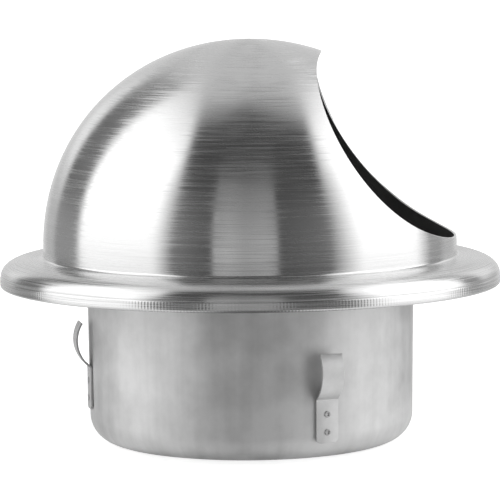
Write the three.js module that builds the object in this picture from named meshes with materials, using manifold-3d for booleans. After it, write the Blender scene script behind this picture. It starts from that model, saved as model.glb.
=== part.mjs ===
// Stainless-steel outlet cowl for a 100 mm exhaust duct: a domed hood with a cut-away mouth and a
// rolled brim, a wall plate, a drawn collar that slides into the duct and grips it with three
// spring clips, a bird screen in the collar's end and a gravity-closed back-draught flap.
//
// Millimetres. The collar stands on the plane z = 0, +Z runs out of the wall along the collar's
// axis, and +X points towards the hood's mouth, which faces down on a real wall.

import * as THREE from "three";
import { mergeVertices } from "three/addons/utils/BufferGeometryUtils.js";
import Module from "manifold-3d";

const wasm = await Module();
wasm.setup();

// ---- driving dimensions -----------------------------------------------------------------------

const sheet = 0.8; // every pressed sheet
const restGap = 0.2; // between pieces that lie on each other
const aroundSteps = 48; // facets around a turned piece
const wallZ = 47; // the wall plane, which is also the collar's length

// hood
const domeRadius = 62;
const domeHeight = 61.85; // above the straight part of the hood's wall
const shoulderZ = wallZ + 11.35; // where the straight wall turns into the dome
const domePower = 2.05; // 2 would be an ellipse
const brimTopZ = wallZ + 8.4;
const brimRootFillet = 1.6;
const brimRollRadius = 64; // where the brim starts to roll over towards its edge
const brimPower = 2.7;
const hemRadius = 1.4; // the folded edge
const rimRadius = 75; // widest point of the folded edge
const hemInnerRadius = 68.5; // the sheet is folded under the wall plate as far as this

// wall plate and collar
const plateInnerRadius = 50.8;
const plateOuterRadius = rimRadius - sheet - 0.5;
const collarRadius = 49; // at the wall plane
const collarDraft = 0.5; // smaller radius at the lower end
const collarCornerRadius = 8.1;
const collarMouthRadius = 37; // inner edge of the in-turned end
const collarLipRadius = 55; // out-turned lip on top of the wall plate
const lipBendRadius = 1.4;

// spring clips, each a strip with a riveted tab and a bowed tongue above it
const clipWidth = 7;
const clipThickness = 0.6;
const clipGap = 0.25; // between the flat strip and the round collar
const clipAzimuthsDeg = [27.3, -78, 154.7]; // from -Y towards +X
const clipTabBottomZ = [5.4, 10.7, 5.4];
const clipTabHeight = 12.6;
const clipTabCorner = 1.3;
const clipBowRadius = 9.8; // the tongue is an arc of this radius
const clipBowReach = 4.5; // from the collar's wall to the arc's furthest point
const clipTipDeg = 33; // where the arc ends, above the level of its centre
const clipSplit = 0.15; // half of the slit at the bend that the tongue flexes about
const rivetHeights = [3.2, 8.4]; // above the tab's lower end
const rivetShank = 0.5;
const rivetHole = 0.65;
const rivetHead = 0.95;

// bird screen and the wire ring that holds it down
const screenRadius = 41.8;
const screenRimWidth = 2.4;
const screenHeight = 1;
const screenWire = 0.7; // the two layers of wire cross inside the screen's height
const wirePitch = 13;
const wirePlaces = [-2, -1, 0, 1, 2].map((step) => step * wirePitch);
const screenBottomZ = sheet + 0.3;
const ringWire = 1.6;
const ringRadius = 42.2;
const ringOpeningDeg = 16;

// back-draught damper
const seatTopZ = 37;
const seatHoleRadius = 40.5;
const seatOuterRadius = 47.6;
const seatBandHeight = 7;
const sealInner = 41.2;
const sealOuter = 43.8;
const sealHeight = 1;
const sealOpeningDeg = 50; // room for the hinge
const flapRadius = 44;
const flapThickness = 0.8;
const flapChordX = -40.9; // straight edge along the hinge
const pinX = -43.3;
const pinZ = 39.3;
const pinRadius = 0.9;
const pinLength = 28;
const knuckleBore = 1.2;
const knuckleRadius = 1.9;
const knuckleWidth = 6.5;
const knuckleCentreY = 8;
const earInnerY = 12; // between an ear's inner face and the middle
const earHalfWidth = 2;
const earFootLength = 4.4;
const earFootWidth = 3;
const earRivetY = 14.6;

// ---- colours ----------------------------------------------------------------------------------

const finish = (color, roughness, metalness) => ({ color, roughness, metalness });
const brushedSteel = finish(0xc9c9c7, 0.3, 1);
const satinSteel = finish(0xa9a9a6, 0.45, 1);
const springSteel = finish(0xc4c4c0, 0.4, 1);
const wireSteel = finish(0xb5b5b2, 0.35, 1);
const flapAluminium = finish(0xb0b2b4, 0.5, 1);
const sealRubber = finish(0x2a2a2b, 0.9, 0);

// ---- shape helpers ----------------------------------------------------------------------------

const radians = THREE.MathUtils.degToRad;

// Points on an arc in the (radius, height) plane, both ends included.
function arc(centreR, centreZ, radius, fromDeg, toDeg, steps) {
  return Array.from({ length: steps + 1 }, (_, i) => {
    const angle = radians(fromDeg + ((toDeg - fromDeg) * i) / steps);
    return new THREE.Vector2(centreR + radius * Math.cos(angle), centreZ + radius * Math.sin(angle));
  });
}

const at = (r, z) => new THREE.Vector2(r, z);

// The corners of a full circle, as a flat outline or hole.
function circle(x, y, radius, sides) {
  return Array.from({ length: sides }, (_, i) => {
    const angle = (2 * Math.PI * i) / sides;
    return at(x + radius * Math.cos(angle), y + radius * Math.sin(angle));
  });
}

// A closed or axis-to-axis (radius, height) profile, turned about the Z axis. Its points run upwards
// on the outside and downwards on the inside.
function turned(profile, steps = aroundSteps) {
  return new THREE.LatheGeometry(profile, steps).rotateX(Math.PI / 2);
}

const turnedRing = (section) => turned([...section, section[0].clone()]);

// A flat shape in the XY plane, extruded upwards from height z.
function plate(shape, z, thickness, curveSegments) {
  const options = { depth: thickness, bevelEnabled: false, curveSegments };
  return new THREE.ExtrudeGeometry(shape, options).translate(0, 0, z);
}

// A shape in the XZ plane, extruded along Y between y0 and y1.
function prismAlongY(shape, y0, y1, curveSegments) {
  const options = { depth: y1 - y0, bevelEnabled: false, curveSegments };
  return new THREE.ExtrudeGeometry(shape, options).rotateX(Math.PI / 2).translate(0, y1, 0);
}

function solid(geometry) {
  const bare = geometry.clone();
  bare.deleteAttribute("normal");
  bare.deleteAttribute("uv");
  const merged = mergeVertices(bare, 1e-4);
  const corners = merged.index.array;
  const triVerts = [];
  for (let i = 0; i < corners.length; i += 3) {
    const [a, b, c] = corners.slice(i, i + 3);
    if (a !== b && b !== c && c !== a) triVerts.push(a, b, c);
  }
  const vertProperties = merged.attributes.position.array;
  return new wasm.Manifold(new wasm.Mesh({ numProp: 3, vertProperties, triVerts: Uint32Array.from(triVerts) }));
}

function geometryOf(manifold) {
  const { vertProperties, triVerts } = manifold.getMesh();
  const geometry = new THREE.BufferGeometry();
  geometry.setAttribute("position", new THREE.BufferAttribute(Float32Array.from(vertProperties), 3));
  geometry.setIndex(new THREE.BufferAttribute(Uint32Array.from(triVerts), 1));
  geometry.computeVertexNormals();
  return geometry;
}

const joined = (...geometries) => geometryOf(geometries.map(solid).reduce((all, next) => all.add(next)));

const without = (geometry, ...cutters) =>
  geometryOf(cutters.map(solid).reduce((rest, cutter) => rest.subtract(cutter), solid(geometry)));

const cowl = new THREE.Group();

function piece(name, geometry, material, parent = cowl) {
  const mesh = new THREE.Mesh(geometry, new THREE.MeshStandardMaterial(material));
  mesh.name = name;
  parent.add(mesh);
  return mesh;
}

// ---- hood: dome, brim and rolled edge, pressed from one sheet ----------------------------------

function domeArc(radius, height, steps) {
  return Array.from({ length: steps + 1 }, (_, i) => {
    const angle = ((Math.PI / 2) * i) / steps;
    const r = radius * Math.sin(angle) ** (2 / domePower);
    return at(i === 0 ? 0 : r, shoulderZ + height * Math.cos(angle) ** (2 / domePower));
  });
}

// The brim rolls over like a quarter of a flattened ring, down to the folded edge's widest point.
function brimArc(depth, steps) {
  const reach = rimRadius - brimRollRadius - depth;
  const drop = brimTopZ - wallZ - hemRadius - depth;
  return Array.from({ length: steps }, (_, i) => {
    const angle = ((Math.PI / 2) * i) / steps;
    const r = brimRollRadius + reach * Math.sin(angle) ** (2 / brimPower);
    return at(r, wallZ + hemRadius + drop * Math.cos(angle) ** (2 / brimPower));
  });
}

function hoodProfile() {
  const rootCentreR = domeRadius + brimRootFillet;
  const rootCentreZ = brimTopZ + brimRootFillet;
  // one face of the sheet, from the dome's top to the folded edge, moved inwards by depth
  const face = (depth) => [
    ...domeArc(domeRadius - depth, domeHeight - depth, 10),
    ...arc(rootCentreR, rootCentreZ, brimRootFillet + depth, 180, 270, 2),
    ...brimArc(depth, 5),
    ...arc(rimRadius - hemRadius, wallZ + hemRadius, hemRadius - depth, 0, -90, 3),
  ];
  const foldedEnd = [at(hemInnerRadius, wallZ + sheet), at(hemInnerRadius, wallZ)];
  return [...face(sheet), ...foldedEnd, ...face(0).reverse()];
}

// The mouth is one sweep of a cutter along Y: steep below the dome's top, level above the brim.
function mouthCutter() {
  const far = 95;
  const edge = new THREE.Shape();
  edge.moveTo(34, wallZ + 79.3);
  edge.lineTo(22.1, wallZ + 69.7);
  edge.bezierCurveTo(14.2, wallZ + 63.3, 33.8, wallZ + 18.1, 64.7, wallZ + 13.8);
  edge.lineTo(far, wallZ + 11);
  edge.lineTo(far, wallZ + far);
  edge.lineTo(34, wallZ + far);
  return prismAlongY(edge, -far, far, 16);
}

piece("hood_shell", without(turned(hoodProfile()), mouthCutter()), brushedSteel);

// ---- wall plate and duct collar ---------------------------------------------------------------

const plateBottomZ = wallZ + sheet + restGap;
const plateTopZ = plateBottomZ + sheet;

piece(
  "wall_plate",
  turnedRing([
    at(plateInnerRadius, plateBottomZ),
    at(plateOuterRadius, plateBottomZ),
    at(plateOuterRadius, plateTopZ),
    at(plateInnerRadius, plateTopZ),
  ]),
  satinSteel,
);

const collarCornerCentreR = collarRadius - collarDraft - collarCornerRadius;

// Outer radius of the tapered collar at height z, above its rounded lower corner.
function collarRadiusAt(z) {
  return collarRadius - (collarDraft * (wallZ - z)) / (wallZ - collarCornerRadius);
}

function collarProfile() {
  const lipZ = plateTopZ + restGap;
  const bendCentreR = collarRadius + lipBendRadius;
  const bendCentreZ = lipZ - lipBendRadius;
  return [
    at(collarMouthRadius, sheet),
    at(collarMouthRadius, 0),
    ...arc(collarCornerCentreR, collarCornerRadius, collarCornerRadius, -90, 0, 5),
    ...arc(bendCentreR, bendCentreZ, lipBendRadius, 180, 90, 2),
    at(collarLipRadius, lipZ),
    at(collarLipRadius, lipZ + sheet),
    ...arc(bendCentreR, bendCentreZ, lipBendRadius + sheet, 90, 180, 2),
    ...arc(collarCornerCentreR, collarCornerRadius, collarCornerRadius - sheet, 0, -90, 4),
  ];
}

// A level hole through strip and collar, in a clip's own group, where outwards is -Y.
function rivetDrill(height) {
  return new THREE.CylinderGeometry(rivetHole, rivetHole, 6, 8).translate(0, -collarRadius, height);
}

const collarDrills = clipAzimuthsDeg.flatMap((azimuth, clip) =>
  rivetHeights.map((height) => rivetDrill(clipTabBottomZ[clip] + height).rotateZ(radians(azimuth))),
);

piece("duct_collar", without(turnedRing(collarProfile()), ...collarDrills), satinSteel);

// ---- spring clips -----------------------------------------------------------------------------

// In a clip's own group the strip faces outwards along -Y and stands along +Z.
function clipTab(innerFace) {
  const height = clipTabHeight - clipSplit;
  const side = clipWidth / 2;
  const corner = clipTabCorner;
  const face = new THREE.Shape();
  face.moveTo(-side, height);
  face.lineTo(-side, corner);
  face.absarc(corner - side, corner, corner, Math.PI, 1.5 * Math.PI);
  face.absarc(side - corner, corner, corner, 1.5 * Math.PI, 2 * Math.PI);
  face.lineTo(side, height);
  const strip = prismAlongY(face, -innerFace - clipThickness, -innerFace, 3);
  return without(strip, ...rivetHeights.map(rivetDrill));
}

function clipTongue(innerFace) {
  const centreR = innerFace - clipGap + clipBowReach - clipBowRadius;
  const rootLean = Math.acos((innerFace + clipThickness / 2 - centreR) / clipBowRadius);
  const centreZ = clipTabHeight + clipSplit + clipBowRadius * Math.sin(rootLean);
  const root = -THREE.MathUtils.radToDeg(rootLean);
  const side = (radius, from, to) => arc(centreR, centreZ, radius, from, to, 9);
  const outline = new THREE.Shape([
    ...side(clipBowRadius + clipThickness / 2, root, clipTipDeg),
    ...side(clipBowRadius - clipThickness / 2, clipTipDeg, root),
  ]);
  const strip = new THREE.ExtrudeGeometry(outline, { depth: clipWidth, bevelEnabled: false });
  const outwards = new THREE.Vector3(0, -1, 0);
  const upwards = new THREE.Vector3(0, 0, 1);
  const sideways = new THREE.Vector3(-1, 0, 0);
  strip.applyMatrix4(new THREE.Matrix4().makeBasis(outwards, upwards, sideways));
  return strip.translate(clipWidth / 2, 0, 0);
}

// Low domed head outside the strip, shank through strip and collar, flat tail inside the collar.
function clipRivet(innerFace, collarOuter) {
  const headFoot = innerFace + clipThickness + 0.1;
  const tailFoot = collarOuter - sheet - 0.4;
  const tailEnd = tailFoot - 0.4;
  const profile = [
    at(0, tailEnd),
    at(rivetHead, tailEnd),
    at(rivetHead, tailFoot),
    at(rivetShank, tailFoot),
    at(rivetShank, headFoot),
    at(rivetHead, headFoot),
    at(0.75 * rivetHead, headFoot + 0.3),
    at(0, headFoot + 0.45),
  ];
  return new THREE.LatheGeometry(profile, 8).rotateX(Math.PI);
}

clipAzimuthsDeg.forEach((azimuth, index) => {
  const name = `clip_${index + 1}`;
  const group = new THREE.Group();
  group.rotation.z = radians(azimuth);
  group.position.z = clipTabBottomZ[index];
  cowl.add(group);
  const innerFace = collarRadiusAt(clipTabBottomZ[index] + clipTabHeight) + clipGap;
  piece(`${name}_tab`, clipTab(innerFace), springSteel, group);
  piece(`${name}_tongue`, clipTongue(innerFace), springSteel, group);
  rivetHeights.forEach((height, position) => {
    const collarOuter = collarRadiusAt(clipTabBottomZ[index] + height);
    const rivet = piece(
      `${name}_rivet_${["lower", "upper"][position]}`,
      clipRivet(innerFace, collarOuter),
      springSteel,
      group,
    );
    rivet.position.z = height;
  });
});

// ---- bird screen ------------------------------------------------------------------------------

function screenGrid() {
  const top = screenBottomZ + screenHeight;
  const rim = turnedRing([
    at(screenRadius - screenRimWidth, screenBottomZ),
    at(screenRadius, screenBottomZ),
    at(screenRadius, top),
    at(screenRadius - screenRimWidth, top),
  ]);
  const rimMiddle = screenRadius - screenRimWidth / 2;
  const lowerZ = screenBottomZ + 0.1 + screenWire / 2;
  const upperZ = top - 0.1 - screenWire / 2;
  const bars = wirePlaces.flatMap((place) => {
    const length = 2 * Math.sqrt(rimMiddle ** 2 - place ** 2);
    return [
      new THREE.BoxGeometry(length, screenWire, screenWire).translate(0, place, lowerZ),
      new THREE.BoxGeometry(screenWire, length, screenWire).translate(place, 0, upperZ),
    ];
  });
  return joined(rim, ...bars);
}

piece("bird_screen", screenGrid(), wireSteel);

class RingCurve extends THREE.Curve {
  getPoint(t, target = new THREE.Vector3()) {
    const angle = radians(ringOpeningDeg / 2 + (360 - ringOpeningDeg) * t);
    return target.set(ringRadius * Math.cos(angle), ringRadius * Math.sin(angle), 0);
  }
}

function screenRing() {
  const section = new THREE.Shape(circle(0, 0, ringWire / 2, 6));
  const options = { steps: 30, extrudePath: new RingCurve() };
  const height = screenBottomZ + screenHeight + restGap + ringWire / 2;
  return new THREE.ExtrudeGeometry(section, options).translate(0, 0, height);
}

piece("screen_ring", screenRing(), wireSteel);

// ---- back-draught damper ----------------------------------------------------------------------

const discHole = (x, y) =>
  new THREE.CylinderGeometry(rivetHole, rivetHole, 6, 8).rotateX(Math.PI / 2).translate(x, y, seatTopZ);

const earFootX = pinX + earHalfWidth - earFootWidth / 2;
const bothSides = [
  ["left", 1],
  ["right", -1],
];

function damperSeat() {
  const ring = turnedRing([
    at(seatOuterRadius - sheet, seatTopZ - seatBandHeight),
    at(seatOuterRadius, seatTopZ - seatBandHeight),
    at(seatOuterRadius, seatTopZ),
    at(seatHoleRadius, seatTopZ),
    at(seatHoleRadius, seatTopZ - sheet),
    at(seatOuterRadius - sheet, seatTopZ - sheet),
  ]);
  return without(ring, ...bothSides.map(([, side]) => discHole(earFootX, side * earRivetY)));
}

piece("damper_seat", damperSeat(), satinSteel);

function damperSeal() {
  const start = Math.PI + radians(sealOpeningDeg / 2);
  const end = 3 * Math.PI - radians(sealOpeningDeg / 2);
  const outline = new THREE.Shape();
  outline.absarc(0, 0, sealOuter, start, end, false);
  outline.absarc(0, 0, sealInner, end, start, true);
  return plate(outline, seatTopZ + restGap, sealHeight, 20);
}

piece("damper_seal", damperSeal(), sealRubber);

const flapZ = seatTopZ + restGap + sealHeight + restGap;

function knuckle(side) {
  const ring = new THREE.Shape(circle(pinX, pinZ, knuckleRadius, 12));
  ring.holes.push(new THREE.Path(circle(pinX, pinZ, knuckleBore, 12)));
  const middle = side * knuckleCentreY;
  return prismAlongY(ring, middle - knuckleWidth / 2, middle + knuckleWidth / 2);
}

// The strip that ties a knuckle to the flap's straight edge.
function knuckleLink(side) {
  const from = pinX + knuckleBore + 0.2;
  const length = flapChordX + 1 - from;
  return new THREE.BoxGeometry(length, knuckleWidth, flapThickness).translate(
    from + length / 2,
    side * knuckleCentreY,
    flapZ + flapThickness / 2,
  );
}

function damperFlap() {
  const chordAngle = Math.acos(flapChordX / flapRadius);
  const outline = new THREE.Shape().absarc(0, 0, flapRadius, -chordAngle, chordAngle);
  const disc = plate(outline, flapZ, flapThickness, 24);
  return joined(disc, ...bothSides.flatMap(([, side]) => [knuckle(side), knuckleLink(side)]));
}

piece("damper_flap", damperFlap(), flapAluminium);

piece(
  "damper_pin",
  new THREE.CylinderGeometry(pinRadius, pinRadius, pinLength, 12).translate(pinX, 0, pinZ),
  wireSteel,
);

// An upright with a round top and the pin's hole, on a foot that turns away from the middle.
function hingeEar(side) {
  const footZ = seatTopZ + restGap;
  const upright = new THREE.Shape();
  upright.moveTo(pinX - earHalfWidth, footZ);
  upright.lineTo(pinX + earHalfWidth, footZ);
  upright.absarc(pinX, pinZ, earHalfWidth, 0, Math.PI);
  upright.holes.push(new THREE.Path(circle(pinX, pinZ, knuckleBore, 12)));
  const faces = [side * earInnerY, side * (earInnerY + sheet)].sort((a, b) => a - b);
  const foot = new THREE.BoxGeometry(earFootWidth, earFootLength, sheet).translate(
    earFootX,
    side * (earInnerY + earFootLength / 2),
    footZ + sheet / 2,
  );
  return without(joined(prismAlongY(upright, ...faces, 6), foot), discHole(earFootX, side * earRivetY));
}

function earRivet() {
  const tailFoot = -sheet - 0.1;
  const headFoot = restGap + sheet + 0.1;
  return turned(
    [
      at(0, tailFoot - 0.4),
      at(rivetHead, tailFoot - 0.4),
      at(rivetHead, tailFoot),
      at(rivetShank, tailFoot),
      at(rivetShank, headFoot),
      at(rivetHead, headFoot),
      at(0.75 * rivetHead, headFoot + 0.3),
      at(0, headFoot + 0.45),
    ],
    8,
  );
}

for (const [name, side] of bothSides) {
  piece(`hinge_ear_${name}`, hingeEar(side), satinSteel);
  const rivet = piece(`hinge_rivet_${name}`, earRivet(), springSteel);
  rivet.position.set(earFootX, side * earRivetY, seatTopZ);
}

export default cowl;
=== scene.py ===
"""Looks of a stainless-steel exhaust cowl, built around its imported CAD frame.

Every shape is worked out in millimetres and put into Blender in metres, in the frame's own axes:
+Z runs along the collar towards the dome, +X towards the mouth, and z = 0 is the collar's lower end.
"""

import math

import bmesh
import bpy
from mathutils import Matrix, Vector


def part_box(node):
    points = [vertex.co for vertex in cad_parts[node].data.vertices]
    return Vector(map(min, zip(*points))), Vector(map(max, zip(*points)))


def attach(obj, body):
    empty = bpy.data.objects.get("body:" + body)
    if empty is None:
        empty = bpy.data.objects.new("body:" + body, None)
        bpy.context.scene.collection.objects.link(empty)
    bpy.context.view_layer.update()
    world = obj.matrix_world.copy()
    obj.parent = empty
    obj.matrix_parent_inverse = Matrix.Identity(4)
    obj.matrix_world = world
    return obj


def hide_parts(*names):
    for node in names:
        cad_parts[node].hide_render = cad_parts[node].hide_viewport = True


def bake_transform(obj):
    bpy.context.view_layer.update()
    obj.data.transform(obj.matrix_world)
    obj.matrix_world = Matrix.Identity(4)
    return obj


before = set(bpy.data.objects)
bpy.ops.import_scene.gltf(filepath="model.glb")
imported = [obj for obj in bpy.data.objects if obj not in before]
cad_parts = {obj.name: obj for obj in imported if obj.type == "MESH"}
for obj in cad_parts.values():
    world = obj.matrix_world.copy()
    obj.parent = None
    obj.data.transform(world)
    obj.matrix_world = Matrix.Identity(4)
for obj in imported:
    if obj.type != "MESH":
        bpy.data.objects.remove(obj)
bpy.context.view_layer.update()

MM = 0.001
scene = bpy.context.scene


def box_mm(node):
    low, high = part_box(node)
    return low / MM, high / MM


# ---- sizes ----

HOOD_LOW, HOOD_HIGH = box_mm("hood_shell")
COLLAR_HIGH = box_mm("duct_collar")[1]

SHEET = 0.8
EDGE_BREAK = 0.2  # radius on the cut edges of the sheet
REST_GAP = 0.2  # between pieces that rest on each other
AROUND = 240  # steps around the hood and the collar
AROUND_SMALL = 160  # steps around the other rings
AROUND_TINY = 32  # steps around rivets and the pin
LONGEST_STEP = 1.5  # along a rounded corner

WALL_Z = HOOD_LOW.z
DOME_RADIUS = 62
DOME_TOP_Z = HOOD_HIGH.z
SHOULDER_Z = WALL_Z + 11.35
DOME_POWER = 2.05
BRIM_TOP_Z = WALL_Z + 8.4
BRIM_ROOT_FILLET = 0.8
BRIM_ROLL_RADIUS = 64
BRIM_POWER = 2.7
BAND_LOW_Z = WALL_Z + 1.4  # the brim's side is upright from here down
HEM_RADIUS = 0.9
RIM_RADIUS = 75
HEM_INNER_RADIUS = 68.5
HEM_BAND_Z = WALL_Z + 3.1  # a faint groove runs round the top of the folded edge
HEM_GROOVE_DEPTH = 0.08
HEM_GROOVE_WIDTH = 0.22

# the mouth's cut in the XZ plane, a Bezier swept along Y
MOUTH_CUT = [
    Vector((22.1, WALL_Z + 69.7)),
    Vector((14.2, WALL_Z + 63.3)),
    Vector((33.8, WALL_Z + 18.1)),
    Vector((64.7, WALL_Z + 13.8)),
]

PLATE_INNER_RADIUS = 50.8
PLATE_OUTER_RADIUS = 73.7
COLLAR_RADIUS = 49
COLLAR_DRAFT = 0.5
COLLAR_CORNER_RADIUS = 8.1
COLLAR_MOUTH_RADIUS = 37
COLLAR_LIP_RADIUS = COLLAR_HIGH.y
COLLAR_LIP_Z = COLLAR_HIGH.z - SHEET
LIP_BEND_RADIUS = 1.4

CLIP_WIDTH = 7
CLIP_THICKNESS = 0.6
CLIP_SEAT_GAP = 0.14
CLIP_AZIMUTHS_DEG = [27.3, -78, 154.7]  # from -Y towards +X
CLIP_TAB_HEIGHT = 12.6
CLIP_TAB_CORNER = 1.3
CLIP_BOW_RADIUS = 9.8
CLIP_BOW_REACH = 4.5
CLIP_TIP_DEG = 33
CLIP_SPLIT = 0.15
CLIP_BEND_RADIUS = 1.0
RIVET_HEIGHTS = [3.2, 8.4]
RIVET_HEAD = 1.0
RIVET_SHANK = 0.5
RIVET_TAIL = 0.95

SCREEN_RADIUS = 41.8
SCREEN_RIM_WIDTH = 2.4
SCREEN_WIRE = 0.6
WIRE_PITCH = 13
WIRE_PLACES = [step * WIRE_PITCH for step in (-2, -1, 0, 1, 2)]
RING_WIRE = 1.6
RING_RADIUS = 42.2
RING_OPENING_DEG = 16

SEAT_LOW, SEAT_HIGH = box_mm("damper_seat")
SEAT_HOLE_RADIUS = 40.5
SEAT_OUTER_RADIUS = 47.6
SEAL_LOW, SEAL_HIGH = box_mm("damper_seal")
SEAL_INNER = 41.2
SEAL_OUTER = 43.8
SEAL_OPENING_DEG = 50
FLAP_RADIUS = 44
FLAP_Z = SEAL_HIGH.z + REST_GAP
FLAP_THICKNESS = 0.8
FLAP_CHORD_X = -40.9
PIN_X = -43.3
PIN_Z = 39.3
PIN_RADIUS = 0.9
PIN_LENGTH = 28
KNUCKLE_MIDDLE_RADIUS = 1.52
KNUCKLE_THICKNESS = 0.6
KNUCKLE_WIDTH = 6.5
KNUCKLE_CENTRE_Y = 8
EAR_INNER_Y = 12
EAR_HALF_WIDTH = 2
EAR_FOOT_LENGTH = 4.4
EAR_RIVET_Y = 14.6
EAR_RIVET_X = PIN_X + EAR_HALF_WIDTH - 1.5


# ---- mesh helpers ----


def new_object(name, points, faces, normals, materials, face_materials=None):
    """A smooth-shaded object from points in millimetres, with its faces turned outwards.

    normals is one per point, or None for Blender's own.
    """
    mesh = bpy.data.meshes.new(name)
    mesh.from_pydata([Vector(p) * MM for p in points], [], faces)
    for material in materials:
        mesh.materials.append(material)
    if face_materials:
        mesh.polygons.foreach_set("material_index", face_materials)
    build = bmesh.new()
    build.from_mesh(mesh)
    bmesh.ops.recalc_face_normals(build, faces=build.faces)
    build.to_mesh(mesh)
    build.free()
    mesh.polygons.foreach_set("use_smooth", [True] * len(mesh.polygons))
    if normals:
        mesh.normals_split_custom_set_from_vertices([Vector(n).normalized() for n in normals])
    obj = bpy.data.objects.new(name, mesh)
    scene.collection.objects.link(obj)
    return obj


def faces_between(here, there, count):
    """Faces between two loops of count points, each given by the index of its first point."""
    pairs = [(j, (j + 1) % count) for j in range(count)]
    return [(here + j, here + k, there + k, there + j) for j, k in pairs]


def end_caps(total, count):
    """The faces over the first and the last loop."""
    return [tuple(range(count)), tuple(range(total - count, total))]


def skin(name, rings, ring_normals, material, closed=False):
    """A tube over rings of points, each ring a loop; open tubes get a flat cap on each end."""
    count = len(rings[0])
    points = [p for ring in rings for p in ring]
    normals = [n for ring in ring_normals for n in ring]
    faces = []
    for i in range(len(rings) if closed else len(rings) - 1):
        faces += faces_between(i * count, (i + 1) % len(rings) * count, count)
    if not closed:
        faces += end_caps(len(points), count)
    return new_object(name, points, faces, normals, [material])


def cage(name, points, count, material):
    """A capped tube over loops of count points, for bevelling."""
    faces = end_caps(len(points), count)
    for here in range(0, len(points) - count, count):
        faces += faces_between(here, here + count, count)
    return new_object(name, points, faces, None, [material])


def unit_at(angle):
    """The flat unit vector at an angle from the first axis."""
    return Vector((math.cos(angle), math.sin(angle)))


def corner_turn(before, here, after):
    """The unit direction into a corner and the angle that the outline turns by there."""
    along_in = (here - before).normalized()
    along_out = (after - here).normalized()
    return along_in, math.atan2(along_in.cross(along_out), along_in.dot(along_out))


def rounded_outline(corners, finest_deg=15):
    """A closed anticlockwise outline of (x, y, corner radius), as (point, outward normal) pairs."""
    outline = []
    for index, (x, y, radius) in enumerate(corners):
        here = Vector((x, y))
        before = Vector(corners[index - 1][:2])
        after = Vector(corners[(index + 1) % len(corners)][:2])
        along_in, turn = corner_turn(before, here, after)
        side = math.copysign(1, turn)
        start = here - along_in * radius * math.tan(abs(turn) / 2)
        first = Vector((along_in.y, -along_in.x))
        centre = start - first * radius * side
        steps_by_angle = math.ceil(math.degrees(abs(turn)) / finest_deg)
        steps = max(2, steps_by_angle, math.ceil(radius * abs(turn) / LONGEST_STEP))
        for step in range(steps + 1):
            normal = first.copy()
            normal.rotate(Matrix.Rotation(turn * step / steps, 2))
            outline.append((centre + normal * radius * side, normal))
    return outline


def about_z(flat, angle):
    """A (radius, height) point or normal, turned about Z by an angle."""
    return flat.x * math.cos(angle), flat.x * math.sin(angle), flat.y


def turned(name, outline, material, steps=AROUND_SMALL):
    """A ring with the given (radius, height) outline, turned about Z."""
    angles = [2 * math.pi * j / steps for j in range(steps)]
    rings = [[about_z(p, angle) for p, n in outline] for angle in angles]
    ring_normals = [[about_z(n, angle) for p, n in outline] for angle in angles]
    return skin(name, rings, ring_normals, material, closed=True)


def spun(name, corners, material):
    """A solid turned about Z; its corners run anticlockwise from the axis, upwards on the outside."""
    mirrored = [(-x, y, radius) for x, y, radius in reversed(corners) if x > 0]
    off_axis = 1e-4
    outline = rounded_outline(list(corners) + mirrored, finest_deg=18)
    outline = [(p, n) for p, n in outline if p.x > off_axis]
    steps = AROUND_TINY
    points = [(0, 0, corners[0][1])]
    normals = [(0, 0, -1)]
    for p, n in outline:
        for j in range(steps):
            angle = 2 * math.pi * j / steps
            points.append(about_z(p, angle))
            normals.append(about_z(n, angle))
    last = len(points)
    points.append((0, 0, corners[-1][1]))
    normals.append((0, 0, 1))
    faces = []
    for j in range(steps):
        k = (j + 1) % steps
        faces.append((0, 1 + j, 1 + k))
        for here in range(1, last - steps, steps):
            faces.append((here + j, here + steps + j, here + steps + k, here + k))
        faces.append((last - steps + j, last, last - steps + k))
    return new_object(name, points, faces, normals, [material])


def tangents(path, closed=False):
    """Unit directions along a path, exact on circles even where its steps are uneven."""
    found = []
    for i, here in enumerate(path):
        before = path[i - 1] if i or closed else None
        after = path[(i + 1) % len(path)] if i + 1 < len(path) or closed else None
        if before is None:
            direction = after - here
        elif after is None:
            direction = here - before
        else:
            ahead, behind = after - here, here - before
            direction = ahead.normalized() * behind.length + behind.normalized() * ahead.length
        found.append(direction.normalized())
    return found


def upright(direction):
    return Vector((0, 0, 1))


def sweep(name, path, up, outline, material, end_round):
    """An outline carried along a path of 3D points, with its ends rounded over.

    up(direction) is the outline's y axis where the path runs in that direction.
    """
    directions = tangents(path)
    quarter = [math.radians(angle) for angle in (30, 60, 90)]
    head = [(path[0], directions[0], -math.sin(a), 1 - math.cos(a)) for a in reversed(quarter)]
    body = [(p, d, 0.0, 0.0) for p, d in zip(path, directions)]
    tail = [(path[-1], directions[-1], math.sin(a), 1 - math.cos(a)) for a in quarter]
    rings = []
    ring_normals = []
    for point, direction, lean, inset in head + body + tail:
        y_axis = up(direction).normalized()
        x_axis = direction.cross(y_axis).normalized()
        ring = []
        normals = []
        for p, n in outline:
            flat = p - n * end_round * inset
            ring.append(point + direction * end_round * lean + x_axis * flat.x + y_axis * flat.y)
            side = x_axis * n.x + y_axis * n.y
            normals.append(side * math.sqrt(max(0, 1 - lean * lean)) + direction * lean)
        rings.append(ring)
        ring_normals.append(normals)
    return skin(name, rings, ring_normals, material)


def circle_outline(radius, steps=12):
    directions = [unit_at(2 * math.pi * j / steps) for j in range(steps)]
    return [(d * radius, d) for d in directions]


def bar_outline(width, height, corner):
    w, h = width / 2, height / 2
    return rounded_outline([(-w, -h, corner), (w, -h, corner), (w, h, corner), (-w, h, corner)], 30)


def around_axis(radius, z, start_deg, end_deg, steps):
    angles = [math.radians(start_deg + (end_deg - start_deg) * i / steps) for i in range(steps + 1)]
    return [Vector((radius * math.cos(a), radius * math.sin(a), z)) for a in angles]


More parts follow.
